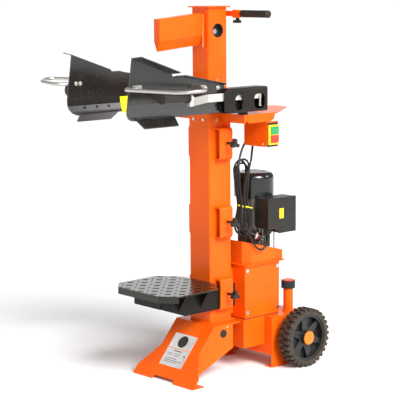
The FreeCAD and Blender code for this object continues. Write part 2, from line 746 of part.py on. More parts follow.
def main():
    os.makedirs("parts", exist_ok=True)
    nodes = {
        "base_foot": base_foot(),
        "fixed_column": fixed_column(),
        "guide_pads": guide_pads(),
        "cylinder_barrel": cylinder_barrel(),
        "table_brackets": table_brackets(),
        "rear_frame": rear_frame(),
        "oil_tank": oil_tank(),
        "tank_gasket": tank_gasket(),
        "pump_cover": pump_cover(),
        "frame_bolts": frame_bolts(),
        "motor_tray": motor_tray(),
        "motor_body": motor_body(),
        "motor_rotor": motor_rotor(),
        "fan_cover": fan_cover(),
        "terminal_box": terminal_box(),
        "filler_pipe": filler_pipe(),
        "filler_cap": filler_cap(),
        "foot_plugs": foot_plugs(),
        "hydraulic_pipes": hydraulic_pipes(),
        "valve_block": valve_block(),
        "valve_rod": valve_rod(),
        "wheel_axle": wheel_axle(),
        "ram_column": ram_column(),
        "splitting_wedge": splitting_wedge(),
        "piston_rod": piston_rod(),
        "transport_handle": transport_handle(),
        "handle_grip": handle_grip(),
        "handle_knob": handle_knob(),
        "table_plate": table_plate(),
        "table_frame": table_frame(),
        "table_knob_low": table_knob(bracket_z[0]),
        "table_knob_mid": table_knob(bracket_z[1]),
        "table_knob_high": table_knob(bracket_z[2]),
        "control_bracket": control_bracket(),
        "switch_bracket": switch_bracket(),
        "switch_housing": switch_housing(),
        "switch_frame": switch_frame(),
        "green_button": button(998, 1029),
        "red_button": button(963, 994),
        "mains_cord": mains_cord(),
        "mains_hank": mains_hank(),
        "mains_plug": mains_plug(),
        "motor_cable": motor_cable(),
    }
    doubles = {
        "tyre": tyre(),
        "rim": rim(),
        "arm_housing": arm_housing(),
        "arm_guard": arm_guard(),
        "hand_guard": hand_guard(),
        "lever_bar": lever_bar(),
        "lever_grip": grip(),
    }
    for name in doubles:
        nodes[name + "_right"] = doubles[name]
        nodes[name + "_left"] = mirror(doubles[name])
    low = [1e9, 1e9, 1e9]
    high = [-1e9, -1e9, -1e9]
    for name in sorted(nodes):
        bb = write(name, nodes[name])
        low = [min(low[0], bb.XMin), min(low[1], bb.YMin), min(low[2], bb.ZMin)]
        high = [max(high[0], bb.XMax), max(high[1], bb.YMax), max(high[2], bb.ZMax)]
    print("nodes", len(nodes), "box", [round(v, 2) for v in low], [round(v, 2) for v in high])


main()
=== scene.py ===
import bpy
import bmesh
import math
from mathutils import Matrix, Vector


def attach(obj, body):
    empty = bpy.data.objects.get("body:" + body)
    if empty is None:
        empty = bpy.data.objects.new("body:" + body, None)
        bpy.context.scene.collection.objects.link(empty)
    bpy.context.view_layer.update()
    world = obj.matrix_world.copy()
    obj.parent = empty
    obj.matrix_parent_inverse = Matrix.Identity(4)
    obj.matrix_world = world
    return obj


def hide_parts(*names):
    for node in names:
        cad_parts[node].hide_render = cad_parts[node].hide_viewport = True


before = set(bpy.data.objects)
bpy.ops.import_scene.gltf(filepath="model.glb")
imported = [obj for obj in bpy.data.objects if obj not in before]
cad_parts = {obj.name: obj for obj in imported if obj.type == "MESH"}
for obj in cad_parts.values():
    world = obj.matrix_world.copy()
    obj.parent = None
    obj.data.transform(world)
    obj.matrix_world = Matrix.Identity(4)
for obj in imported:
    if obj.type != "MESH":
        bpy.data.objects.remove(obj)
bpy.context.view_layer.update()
shiftY = 0.08656   # the column axis sits this far behind the origin
metre = 1000.0     # plans are in millimetres
print("frame loaded:", len(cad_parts), "nodes")


# a shader socket that can be written into an expression
class Value:
    def __init__(self, paint, socket):
        self.paint = paint
        self.socket = socket

    def maths(self, operation, first, second=None):
        extra = {} if second is None else {1: second}
        return self.paint.add("ShaderNodeMath", {"operation": operation}, {0: first, **extra})

    def __add__(self, other):
        return self.maths("ADD", self, other)

    def __radd__(self, other):
        return self.maths("ADD", other, self)

    def __sub__(self, other):
        return self.maths("SUBTRACT", self, other)

    def __rsub__(self, other):
        return self.maths("SUBTRACT", other, self)

    def __mul__(self, other):
        return self.maths("MULTIPLY", self, other)

    def __rmul__(self, other):
        return self.maths("MULTIPLY", other, self)


class Paint:
    def __init__(self, name):
        self.material = bpy.data.materials.new(name)
        self.material.use_nodes = True
        self.tree = self.material.node_tree
        self.shader = self.tree.nodes["Principled BSDF"]
        self.place = self.tree.nodes.new("ShaderNodeTexCoord").outputs["Object"]

    def add(self, kind, settings=None, sockets=None, out=0, whole=False):
        node = self.tree.nodes.new(kind)
        for key, setting in (settings or {}).items():
            if key == "stops":
                ramp = node.color_ramp
                ramp.elements[0].position, ramp.elements[0].color = setting[0]
                ramp.elements[1].position, ramp.elements[1].color = setting[-1]
                for position, colour in setting[1:-1]:
                    ramp.elements.new(position).color = colour
            else:
                setattr(node, key, setting)
        for key, given in (sockets or {}).items():
            self.plug(node.inputs[key], given)
        return node if whole else Value(self, node.outputs[out])

    def plug(self, socket, given):
        if isinstance(given, Value):
            self.tree.links.new(given.socket, socket)
        elif isinstance(given, bpy.types.NodeSocket):
            self.tree.links.new(given, socket)
        else:
            socket.default_value = given

    def noise(self, size, detail=2.0, rough=0.5, stretch=None):
        where = self.place
        if stretch:
            where = self.add("ShaderNodeVectorMath", {"operation": "MULTIPLY"},
                             {0: self.place, 1: stretch})
        return self.add("ShaderNodeTexNoise", {}, {"Vector": where, "Scale": 1.0 / size,
                                                   "Detail": detail, "Roughness": rough})

    def axis(self, letter):
        split = self.add("ShaderNodeSeparateXYZ", {}, {0: self.place}, whole=True)
        return Value(self, split.outputs[letter])

    def blendColours(self, factor, first, second):
        mix = self.add("ShaderNodeMix", {"data_type": "RGBA"}, {"Factor": factor}, whole=True)
        for key, given in ((6, first), (7, second)):
            if isinstance(given, tuple):
                mix.inputs[key].default_value = (*given, 1.0)
            else:
                self.plug(mix.inputs[key], given)
        return Value(self, mix.outputs[2])

    def step(self, value, low, high):
        return self.add("ShaderNodeMapRange", {"clamp": True},
                        {"Value": value, "From Min": low, "From Max": high})

    def bump(self, height, distance, strength=1.0):
        normal = self.add("ShaderNodeBump", {}, {"Height": height, "Distance": distance,
                                                 "Strength": strength})
        self.plug(self.shader.inputs["Normal"], normal)

    def finish(self, colour=None, rough=None, metal=None, **fixed):
        for socket, given in (("Base Color", colour), ("Roughness", rough), ("Metallic", metal)):
            if given is None:
                continue
            if isinstance(given, tuple):
                given = (*given, 1.0)
            self.plug(self.shader.inputs[socket], given)
        for key, given in fixed.items():
            self.shader.inputs[key.replace("_", " ")].default_value = given
        self.material.diffuse_color = (0.5, 0.5, 0.5, 1.0)
        return self.material


# finishes
paintLook = {"bright": (0.88, 0.118, 0.0035), "deep": (0.82, 0.098, 0.0025), "gloss": 0.36,
             "peelSize": 0.0022, "peelDepth": 0.00004}


def sprayPaint(name, marks=None):
    p = Paint(name)
    cloud = p.noise(0.16, 3.0)
    speck = p.noise(0.003, 1.0)
    colour = p.blendColours(p.step(cloud, 0.35, 0.65), paintLook["bright"], paintLook["deep"])
    rough = p.step(p.noise(0.05, 4.0), 0.3, 0.7) * 0.10 + (paintLook["gloss"] - 0.05)
    dust = p.step(speck, 0.66, 0.78) * p.step(p.noise(0.09, 2.0), 0.45, 0.62)
    colour = p.blendColours(dust * 0.35, colour, (0.62, 0.24, 0.07))
    if marks:
        height = p.axis("Z")
        above = p.step(height, marks["low"] - 0.03, marks["low"])
        zone = above * (1.0 - p.step(height, marks["high"], marks["high"] + 0.04))
        streaks = p.noise(0.011, 4.0, 0.65, (1.0, 1.0, 0.28))
        rub = zone * p.step(streaks, 0.58, 0.66) * p.step(p.noise(0.05, 2.0), 0.46, 0.56)
        rub = rub * p.step(p.axis("Y"), marks["front"], marks["front"] + 0.015)
        colour = p.blendColours(rub * 0.75, colour, marks["colour"])
        rough = rough + rub * 0.25
    p.bump(p.noise(paintLook["peelSize"], 2.0), paintLook["peelDepth"])
    return p.finish(colour, rough, 0.0, Coat_Weight=0.06, Coat_Roughness=0.10, Specular_IOR_Level=0.16)


def blackSheet(name, tint=(0.0075, 0.0075, 0.007), gloss=0.36, coat=0.0, shine=0.42):
    p = Paint(name)
    cloud = p.noise(0.12, 4.0)
    brown = (tint[0] * 1.7, tint[1] * 1.35, tint[2] * 1.1)
    colour = p.blendColours(p.step(cloud, 0.4, 0.7), tint, brown)
    handled = p.step(p.noise(0.03, 5.0, 0.6), 0.56, 0.74)
    colour = p.blendColours(handled * 0.18, colour, (0.035, 0.034, 0.030))
    rough = gloss + handled * 0.10 + (p.noise(0.008, 3.0) - 0.5) * 0.10
    p.bump(p.noise(0.0018, 2.0), 0.00004)
    return p.finish(colour, rough, 0.0, Coat_Weight=coat, Coat_Roughness=0.14, Specular_IOR_Level=shine)


def bareSteel(name, shade=0.66, along=(40.0, 2.0, 40.0), warm=0.03, gloss=0.30):
    p = Paint(name)
    grain = p.noise(0.03, 4.0, 0.6, along)
    stain = p.step(p.noise(0.05, 4.0), 0.5, 0.75)
    base = (shade, shade - warm * 0.4, shade - warm * 1.2)
    dark = (shade * 0.62, shade * 0.58, shade * 0.50)
    colour = p.blendColours(p.step(grain, 0.3, 0.75) * 0.5 + stain * 0.3, base, dark)
    rough = gloss + grain * 0.16 + stain * 0.08
    p.bump(grain, 0.00003)
    return p.finish(colour, rough, 1.0)


def zincPlate(name):
    p = Paint(name)
    bloom = p.step(p.noise(0.012, 4.0), 0.4, 0.7)
    colour = p.blendColours(bloom, (0.74, 0.73, 0.69), (0.55, 0.53, 0.42))
    p.bump(p.noise(0.0015, 2.0), 0.00003)
    return p.finish(colour, 0.24 + bloom * 0.18, 1.0)


def mouldedPlastic(name, tint, gloss=0.45, grain=0.0012, depth=0.00005, metal=0.0, coat=0.0):
    p = Paint(name)
    cloud = p.step(p.noise(0.04, 3.0), 0.35, 0.7)
    pale = tuple(min(1.0, c * 1.25 + 0.004) for c in tint)
    colour = p.blendColours(cloud * 0.6, tint, pale)
    scuff = p.step(p.noise(0.006, 5.0, 0.7), 0.62, 0.75)
    colour = p.blendColours(scuff * 0.12, colour, tuple(c * 0.7 + 0.05 for c in tint))
    p.bump(p.noise(grain, 2.0), depth)
    return p.finish(colour, gloss + cloud * 0.08 + scuff * 0.1, metal, Coat_Weight=coat)


def castFinish(name, tint, metal=0.6, gloss=0.5):
    p = Paint(name)
    pits = p.noise(0.0022, 3.0)
    grime = p.step(p.noise(0.03, 4.0), 0.48, 0.7)
    colour = p.blendColours(grime * 0.6, tint, tuple(c * 0.55 for c in tint))
    p.bump(pits, 0.00012)
    return p.finish(colour, gloss + grime * 0.15, metal)


def tyreRubber(name):
    p = Paint(name)
    dust = p.step(p.noise(0.02, 5.0, 0.6), 0.42, 0.68)
    fine = p.noise(0.003, 3.0)
    colour = p.blendColours(dust, (0.026, 0.019, 0.013), (0.058, 0.045, 0.030))
    p.bump(fine, 0.00015)
    return p.finish(colour, 0.58 + dust * 0.22, 0.0)


orange = sprayPaint("orangePaint")
orangeRam = sprayPaint("orangePaintRam", {"low": 1.13, "high": 1.21, "front": shiftY - 0.02,
                                          "colour": (0.93, 0.55, 0.42)})
sheetBlack = blackSheet("satinBlackSheet", gloss=0.24, coat=0.5, shine=0.75)
tableGloss = blackSheet("tablePlateGloss", (0.010, 0.0095, 0.006), 0.24, 0.12)
frameBlack = blackSheet("tableFrameBlack", (0.006, 0.0055, 0.0045), 0.40, 0.0, 0.25)
housingBrown = blackSheet("housingBlack", (0.010, 0.0075, 0.0055), 0.42, 0.0, 0.3)
steel = bareSteel("bareSteel")
barSteel = bareSteel("leverBarSteel", 0.92, (60.0, 2.0, 60.0), 0.04, 0.40)
axleSteel = bareSteel("axleSteel", 0.5, (2.0, 60.0, 60.0))
zinc = zincPlate("zincPlate")
blackPlastic = mouldedPlastic("blackPlastic", (0.009, 0.0085, 0.008))
boxPlastic = mouldedPlastic("terminalBoxPlastic", (0.010, 0.0085, 0.006), 0.42, 0.0016, 0.00008)
coverGloss = mouldedPlastic("fanCoverGloss", (0.006, 0.006, 0.006), 0.16, 0.003, 0.00002, 0.0, 0.4)
rimPlastic = mouldedPlastic("rimPlastic", (0.012, 0.012, 0.011), 0.30, 0.002, 0.00003)
gripRubber = mouldedPlastic("gripRubber", (0.012, 0.010, 0.008), 0.42, 0.0009, 0.0001)
handleRubber = mouldedPlastic("handleRubber", (0.011, 0.009, 0.007), 0.48, 0.0009, 0.0001)
cordRubber = mouldedPlastic("cordRubber", (0.008, 0.0075, 0.007), 0.36, 0.002, 0.00003)
gasketRubber = mouldedPlastic("gasketRubber", (0.010, 0.010, 0.010), 0.6)
yellowPlastic = mouldedPlastic("yellowPlastic", (0.72, 0.50, 0.01), 0.40)
greenPlastic = mouldedPlastic("greenButton", (0.02, 0.27, 0.09), 0.30, 0.002, 0.00002)
redPlastic = mouldedPlastic("redButton", (0.50, 0.035, 0.02), 0.30, 0.002, 0.00002)
capRed = mouldedPlastic("capTopRed", (0.72, 0.075, 0.02), 0.38)
hubOrange = mouldedPlastic("hubCapOrange", (0.78, 0.17, 0.008), 0.40)
padPlastic = mouldedPlastic("guidePadPlastic", (0.80, 0.79, 0.74), 0.5)
motorGrey = castFinish("motorCastGrey", (0.24, 0.225, 0.20), 0.6, 0.36)
castIron = castFinish("castIron", (0.045, 0.043, 0.040), 0.3, 0.55)
tyreBlack = tyreRubber("tyreRubber")
stickerYellow = mouldedPlastic("stickerYellow", (0.78, 0.66, 0.006), 0.40, 0.01, 0.00001)
stickerMark = mouldedPlastic("stickerMark", (0.02, 0.02, 0.02), 0.45, 0.01, 0.00001)
weldOrange = mouldedPlastic("weldOrange", (0.90, 0.19, 0.03), 0.14, 0.004, 0.0004, 0.0, 0.6)
innerBlack = mouldedPlastic("innerBlack", (0.012, 0.012, 0.012), 0.35, 0.004, 0.00005)
labelWhite = mouldedPlastic("labelWhite", (0.78, 0.74, 0.68), 0.4)
stickerSilver = mouldedPlastic("stickerSilver", (0.70, 0.68, 0.66), 0.33, 0.01, 0.00001, 0.35)
stickerOrange = mouldedPlastic("stickerOrange", (0.86, 0.25, 0.08), 0.4, 0.01, 0.00001)
print("finishes made:", len(bpy.data.materials))

nodeFinish = {
    "base_foot": orange, "fixed_column": orange, "guide_pads": padPlastic, "cylinder_barrel": castIron,
    "table_brackets": orange, "rear_frame": orange, "oil_tank": orange, "tank_gasket": gasketRubber,
    "pump_cover": orange, "frame_bolts": zinc, "motor_tray": orange, "motor_body": motorGrey,
    "motor_rotor": castIron, "fan_cover": coverGloss, "terminal_box": boxPlastic, "filler_pipe": orange,
    "filler_cap": blackPlastic, "foot_plugs": blackPlastic, "hydraulic_pipes": castIron,
    "valve_block": castIron, "valve_rod": steel, "wheel_axle": axleSteel, "ram_column": orangeRam,
    "splitting_wedge": orange, "piston_rod": zinc, "transport_handle": orange, "handle_grip": handleRubber,
    "handle_knob": blackPlastic, "table_plate": tableGloss, "table_frame": frameBlack,
    "table_knob_low": blackPlastic, "table_knob_mid": blackPlastic, "table_knob_high": blackPlastic,
    "control_bracket": orange, "switch_bracket": orange, "switch_housing": blackPlastic,
    "switch_frame": yellowPlastic, "green_button": greenPlastic, "red_button": redPlastic,
    "mains_cord": cordRubber, "mains_hank": cordRubber, "mains_plug": cordRubber, "motor_cable": cordRubber,
    "tyre": tyreBlack, "rim": rimPlastic, "arm_housing": housingBrown, "arm_guard": sheetBlack,
    "hand_guard": steel, "lever_bar": barSteel, "lever_grip": gripRubber}


def plainName(node):
    return node.replace("_right", "").replace("_left", "")


for node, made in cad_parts.items():
    made.data.materials.clear()
    made.data.materials.append(nodeFinish[plainName(node)])
print("carried-over nodes painted")


# shaping helpers
def freeSelection():
    if bpy.context.object and bpy.context.object.mode != "OBJECT":
        bpy.ops.object.mode_set(mode="OBJECT")
    bpy.ops.object.select_all(action="DESELECT")


def pickFaces(made, test):
    mesh = bmesh.from_edit_mesh(made.data)
    for face in mesh.faces:
        face.select_set(False)
    for face in mesh.faces:
        if test(face):
            face.select_set(True)
    mesh.select_flush_mode()
    bmesh.update_edit_mesh(made.data)


def aimed(at, along, up=(0, 0, 1)):
    facing = Vector(along).normalized()
    side = Vector(up).cross(facing)
    if side.length < 0.01:
        side = Vector((1, 0, 0)).cross(facing)
    side.normalize()
    rise = facing.cross(side)
    turn = Matrix((side, rise, facing)).transposed().to_4x4()
    return Matrix.Translation(Vector(at)) @ turn


def settle(made, place, finish, body, angle=40.0):
    made.data.transform(place @ made.matrix_world)
    made.matrix_world = Matrix.Identity(4)
    freeSelection()
    made.select_set(True)
    bpy.context.view_layer.objects.active = made
    bpy.ops.object.mode_set(mode="EDIT")
    bpy.ops.mesh.select_all(action="SELECT")
    bpy.ops.mesh.normals_make_consistent(inside=False)
    bpy.ops.object.mode_set(mode="OBJECT")
    bpy.ops.object.shade_smooth_by_angle(angle=math.radians(angle))
    made.data.materials.clear()
    made.data.materials.append(finish)
    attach(made, body)
    made.select_set(False)
    return made


def turned(name, steps, sides=32, bevel=0.0):
    # steps are (height, radius) in mm, drawn up from a disc
    freeSelection()
    bpy.ops.mesh.primitive_circle_add(vertices=sides, radius=steps[0][1] / metre, fill_type="NGON")
    made = bpy.context.active_object
    made.name = name
    bpy.ops.object.mode_set(mode="EDIT")
    bpy.ops.mesh.select_all(action="SELECT")
    height, radius = steps[0]
    bpy.ops.transform.translate(value=(0, 0, height / metre))
    for nextHeight, nextRadius in steps[1:]:
        rise = (0, 0, (nextHeight - height) / metre)
        bpy.ops.mesh.extrude_region_move(TRANSFORM_OT_translate={"value": rise})
        share = nextRadius / radius
        bpy.ops.transform.resize(value=(share, share, 1), center_override=(0, 0, nextHeight / metre))
        height, radius = nextHeight, nextRadius
    bpy.ops.object.mode_set(mode="OBJECT")
    if bevel:
        soften(made, bevel)
    return made


def soften(made, width, segments=2):
    edge = made.modifiers.new("edge", "BEVEL")
    edge.width = width / metre
    edge.segments = segments
    edge.limit_method = "ANGLE"
    edge.angle_limit = math.radians(35)
    bpy.context.view_layer.objects.active = made
    bpy.ops.object.modifier_apply(modifier="edge")


def plateShape(name, wide, tall, thick, corner, rim=0.0):
    freeSelection()
    bpy.ops.mesh.primitive_plane_add(size=1)
    made = bpy.context.active_object
    made.name = name
    bpy.ops.object.mode_set(mode="EDIT")
    bpy.ops.mesh.select_all(action="SELECT")
    bpy.ops.transform.resize(value=(wide / metre, tall / metre, 1))
    bpy.ops.mesh.bevel(offset=corner / metre, segments=4, affect="VERTICES")
    bpy.ops.mesh.select_all(action="SELECT")
    bpy.ops.mesh.extrude_region_move(TRANSFORM_OT_translate={"value": (0, 0, thick / metre)})
    if rim:
        bpy.ops.mesh.inset(thickness=rim / metre, depth=-thick / (3.0 * metre))
    bpy.ops.object.mode_set(mode="OBJECT")
    return made


def joined(first, *others):
    freeSelection()
    for other in others:
        other.select_set(True)
    first.select_set(True)
    bpy.context.view_layer.objects.active = first
    bpy.ops.object.join()
    return first


def copied(first, name, place):
    made = bpy.data.objects.new(name, first.data.copy())
    bpy.context.scene.collection.objects.link(made)
    made.data.transform(place)
    return made


def real(x, y, z):
    return Vector((x / metre, y / metre + shiftY, z / metre))


def scatter(first, name, places, finish, body):
    # one shaped part, set down at each place as its own mesh
    for number, place in enumerate(places):
        settle(copied(first, name + str(number + 1), Matrix.Identity(4)), place, finish, body)
    bpy.data.objects.remove(first)


# wheels
hubPlan = {"radius": 29.0, "face": 248.0, "edge": 5.6, "dome": 4.6, "sides": 48,
           "axleY": 328.0, "axleZ": 125.0}


def hubCaps(plan):
    r, dome, edge = plan["radius"], plan["dome"], plan["edge"]
    steps = [(0, r), (edge, r), (edge + dome * 0.45, r * 0.985), (edge + dome * 0.75, r * 0.93)]
    steps += [(edge + dome * 0.75, r * 0.86), (edge + dome * 0.62, r * 0.84)]
    steps += [(edge + dome * 0.9, r * 0.5), (edge + dome, r * 0.18)]
    for side, sign in (("right", 1), ("left", -1)):
        cap = turned("hubCap_" + side, steps, plan["sides"])
        place = aimed(real(sign * plan["face"], plan["axleY"], plan["axleZ"]), (sign, 0, 0))
        settle(cap, place, hubOrange, "wheel_" + side)


hubCaps(hubPlan)
print("hub caps fitted")


# weld beads
weldPlan = {"ripple": 3.4, "wedge": {"x": 18.5, "y": -52, "z": (1352, 1487), "radius": 5.0},
            "foot": {"x": 63.5, "y": (-55, 54), "front": (58, -60.5), "z": 219, "radius": 3.2}}


def weldBead(name, start, end, finish, body, radius):
    ripple = weldPlan["ripple"]
    freeSelection()
    bead = turned(name, [(0, radius * 0.80), (ripple * 0.3, radius), (ripple * 0.6, radius * 0.97),
                         (ripple, radius * 0.80)], 12)
    reach = (Vector(end) - Vector(start)).length * 1000.0
    row = bead.modifiers.new("row", "ARRAY")
    row.use_relative_offset = False
    row.use_constant_offset = True
    row.constant_offset_displace = (0, 0, ripple / metre)
    row.count = max(2, int(reach / ripple))
    row.use_merge_vertices = True
    row.merge_threshold = 0.00005
    bpy.context.view_layer.objects.active = bead
    bpy.ops.object.modifier_apply(modifier="row")
    place = aimed(start, Vector(end) - Vector(start), (0, 1, 0.1))
    return settle(bead, place, finish, body, 60.0)


wedge, foot = weldPlan["wedge"], weldPlan["foot"]
for side, sign in (("right", 1), ("left", -1)):
    low, high = (real(sign * wedge["x"], wedge["y"], z) for z in wedge["z"])
    weldBead("wedgeWeld_" + side, low, high, weldOrange, "ram", wedge["radius"])
    near, far = (real(sign * foot["x"], y, foot["z"]) for y in foot["y"])
    weldBead("columnFootWeld_" + side, near, far, orange, "frame", foot["radius"])
reach, front = foot["front"]
near, far = (real(x, front, foot["z"]) for x in (-reach, reach))
weldBead("columnFootWeld_front", near, far, orange, "frame", foot["radius"])
print("welds laid")


# labels
labelPlan = {"silver": (134.0, 150.0, 0.9, 2.0), "rim": 1.2, "divider": (128.0, 3.0, 1.3, 0.5),
             "dividerUp": 6.0, "markUp": 41.0, "rise": 27.0, "lineThick": 1.15, "lineCorner": 0.4,
             "markRings": [(0.8, 27.0), (1.25, 27.0), (1.25, 23.5), (1.0, 23.5), (1.0, 17.0), (1.25, 17.0),
                           (1.25, 13.0), (1.0, 13.0), (1.0, 6.0), (1.25, 6.0)],
             "lines": [{"wide": 44.0, "across": 0.0, "drop": 10.0, "tall": 3.4},
                       {"wide": 30.0, "across": -38.0, "drop": 24.0, "tall": 1.8},
                       {"wide": 22.0, "across": -40.0, "drop": 32.0, "tall": 1.8},
                       {"wide": 34.0, "across": 8.0, "drop": 24.0, "tall": 1.8},
                       {"wide": 26.0, "across": 4.0, "drop": 32.0, "tall": 1.8},
                       {"wide": 12.0, "across": 50.0, "drop": 26.0, "tall": 4.0},
                       {"wide": 66.0, "across": -18.0, "drop": 46.0, "tall": 1.8},
                       {"wide": 104.0, "across": -4.0, "drop": 55.0, "tall": 2.2},
                       {"wide": 78.0, "across": -14.0, "drop": 63.0, "tall": 1.8}],
             "yellow": (24.0, 42.0, 0.5, 1.5)}


def footLabel(plan):
    # the slope of the foot plate, falling towards the front
    down = Vector((0, -184, -218)).normalized()
    outward = Vector((0, -218, 184)).normalized()
    centre = real(-3, -196.5, 90.9)
    place = Matrix((Vector((1, 0, 0)), -down, outward)).transposed().to_4x4()
    place = Matrix.Translation(centre + outward * 0.0001 - down * plan["rise"] / metre) @ place
    settle(plateShape("footLabel", *plan["silver"], plan["rim"]), place, stickerSilver, "frame")
    up = plan["dividerUp"] / metre
    settle(plateShape("footLabelDivider", *plan["divider"]), place @ Matrix.Translation((0, up, 0)),
           stickerOrange, "frame")
    mark = turned("footLabelMark", plan["markRings"], 28)
    settle(mark, place @ Matrix.Translation((0, plan["markUp"] / metre, 0)), stickerMark, "frame")
    for row, line in enumerate(plan["lines"]):
        bar = plateShape("footLabelLine" + str(row + 1), line["wide"], line["tall"], plan["lineThick"],
                         plan["lineCorner"])
        spot = Matrix.Translation((line["across"] / metre, up - line["drop"] / metre, 0))
        settle(bar, place @ spot, stickerMark, "frame")


def yellowLabel(name, place, body, plan):
    settle(plateShape(name, *plan["yellow"]), place, stickerYellow, body)
    ring = turned(name + "Mark", [(0.1, 4.6), (0.75, 4.6), (0.75, 3.0), (0.6, 3.0)], 3)
    settle(ring, place @ Matrix.Translation((0, 0.003, 0)), stickerMark, body)
    bar = plateShape(name + "Bar", 11.0, 1.8, 0.75, 0.5)
    settle(bar, place @ Matrix.Translation((0, -0.009, 0)), stickerMark, body)


footLabel(labelPlan)
yellowLabel("lidLabel", aimed(real(181.0, 236, 660), (1, 0, 0)), "frame", labelPlan)


def guardLabel(name, centre, wide, tall):
    freeSelection()
    bpy.ops.mesh.primitive_plane_add(size=1)
    made = bpy.context.active_object
    made.name = name
    bpy.ops.object.mode_set(mode="EDIT")
    bpy.ops.mesh.select_all(action="SELECT")
    bpy.ops.transform.resize(value=(wide / metre, tall / metre, 1))
    bpy.ops.mesh.subdivide(number_cuts=9)
    bpy.ops.object.mode_set(mode="OBJECT")
    made.data.transform(aimed(centre, (1, 0, 0)))
    wrap = made.modifiers.new("wrap", "SHRINKWRAP")
    wrap.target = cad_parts["arm_guard_left"]
    wrap.wrap_method = "PROJECT"
    wrap.use_project_x = True
    wrap.use_negative_direction = True
    wrap.use_positive_direction = True
    wrap.offset = 0.0006
    bpy.context.view_layer.objects.active = made
    bpy.ops.object.modifier_apply(modifier="wrap")
    skin = made.modifiers.new("skin", "SOLIDIFY")
    skin.thickness = 0.0004
    bpy.ops.object.modifier_apply(modifier="skin")
    settle(made, Matrix.Identity(4), stickerYellow, "arm_left")


guardLabel("guardLabel", real(-160, -303, 1127), 42.0, 64.0)
print("labels set")


# fasteners
boltPlan = {"flat": 6.5, "washer": 8.5, "washerThick": 1.5, "height": 5.0, "end": 3.6, "tip": 2.9}


def hexBolt(name, plan, size=1.0):
    flat, base = plan["flat"] * size, 1.4
    top = (base + plan["height"]) * size
    peak = (2.1 + plan["height"]) * size
    wide, thick = plan["washer"] * size, plan["washerThick"] * size
    washer = turned(name, [(0, wide), (thick, wide)], 28, 0.25)
    narrow = plan["flat"] * 0.86 * size
    head = turned(name + "Head", [(base * size, flat), (top, flat), (peak, narrow)], 6, 0.2)
    end = turned(name + "End", [(5.0 * size, plan["end"] * size), (9.5 * size, plan["end"] * size),
                                (10.2 * size, plan["tip"] * size)], 18)
    return joined(washer, head, end)


def panScrew(name, r):
    screw = turned(name, [(0, r), (r * 0.28, r), (r * 0.52, r * 0.82), (r * 0.62, r * 0.5)], 24)
    bpy.context.view_layer.objects.active = screw
    freeSelection()
    screw.select_set(True)
    bpy.context.view_layer.objects.active = screw
    bpy.ops.object.mode_set(mode="EDIT")
    pickFaces(screw, lambda face: face.calc_center_median().z > r * 0.61 / metre)
    bpy.ops.mesh.inset(thickness=r * 0.16 / metre, depth=0)
    bpy.ops.transform.resize(value=(1.0, 0.62, 1.0))
    bpy.ops.mesh.extrude_region_move(TRANSFORM_OT_translate={"value": (0, 0, -r * 0.36 / metre)})
    bpy.ops.object.mode_set(mode="OBJECT")
    return screw


armPlan = {"nuts": {"x": 183.9, "size": 1.0, "spots": ((-543, 1222), (-523, 1222), (-246, 1217))},
           "bolts": {"x": 188.1, "size": 1.05, "spots": ((-196, 1207), (-128, 1203))},
           "claws": {"x": 180.5, "size": 0.8, "tilt": 0.25,
                     "spots": ((-505, 1126), (-445, 1126), (-385, 1126))},
           "rivets": {"x": 214.0, "radius": 4.0, "spots": ((-70, 1186), (112, 1184), (-70, 1108))},
           "pivot": {"spot": (176, 20, 1116.6), "size": 1.25},
           "clevis": {"spot": (207.8, 84, 1120), "steps": [(0, 8.0), (3, 8.0), (3, 5.0), (34, 5.0), (34, 7.5),
                                                           (39, 7.5), (40, 6.4)]}}


def armFasteners(plan, side, sign):
    body = "arm_" + side
    nuts, bolts, claws, rivets = plan["nuts"], plan["bolts"], plan["claws"], plan["rivets"]
    inner = [aimed(real(sign * nuts["x"], y, z), (-sign, 0, 0)) for y, z in nuts["spots"]]
    scatter(hexBolt("guardNut", boltPlan, nuts["size"]), "guardNut_" + side, inner, zinc, body)
    outer = [aimed(real(sign * bolts["x"], y, z), (sign, 0, 0)) for y, z in bolts["spots"]]
    scatter(hexBolt("guardBolt", boltPlan, bolts["size"]), "guardBolt_" + side, outer, zinc, body)
    hooked = [aimed(real(sign * claws["x"], y, z), (-sign, 0, claws["tilt"])) for y, z in claws["spots"]]
    scatter(hexBolt("clawBolt", boltPlan, claws["size"]), "clawBolt_" + side, hooked, sheetBlack, body)
    flush = [aimed(real(sign * rivets["x"], y, z), (sign, 0, 0)) for y, z in rivets["spots"]]
    scatter(panScrew("housingRivet", rivets["radius"]), "housingRivet_" + side, flush, housingBrown, body)
    x, y, z = plan["pivot"]["spot"]
    scatter(hexBolt("pivotNut", boltPlan, plan["pivot"]["size"]), "pivotNut_" + side,
            [aimed(real(sign * x, y, z), (0, 0, 1))], zinc, body)
    x, y, z = plan["clevis"]["spot"]
    clevis = turned("clevisPin_" + side, plan["clevis"]["steps"], 24)
    settle(clevis, aimed(real(sign * x, y, z), (0, 0, 1)), zinc, body)


armFasteners(armPlan, "right", 1)
armFasteners(armPlan, "left", -1)

screwPlan = {"lid": {"x": 181.0, "radius": 5.0, "spots": ((172, 714), (310, 714), (172, 588), (310, 588),
                                                          (241, 716), (241, 586))},
             "switch": {"spot": (177, 132, 957), "radius": 5.0},
             "foot": {"spot": (117, -16, 205), "radius": 3.0}}
lid, switch, footDot = screwPlan["lid"], screwPlan["switch"], screwPlan["foot"]
scatter(panScrew("lidScrew", lid["radius"]), "lidScrew",
        [aimed(real(lid["x"], y, z), (1, 0, 0)) for y, z in lid["spots"]], boxPlastic, "frame")
scatter(panScrew("switchRivet", switch["radius"]), "switchRivet",
        [aimed(real(*switch["spot"]), (0, -1, 0))], zinc, "frame")
scatter(panScrew("footDot", footDot["radius"]), "footDot",
        [aimed(real(*footDot["spot"]), (1, 0, 0))], stickerSilver, "frame")
print("fasteners set")


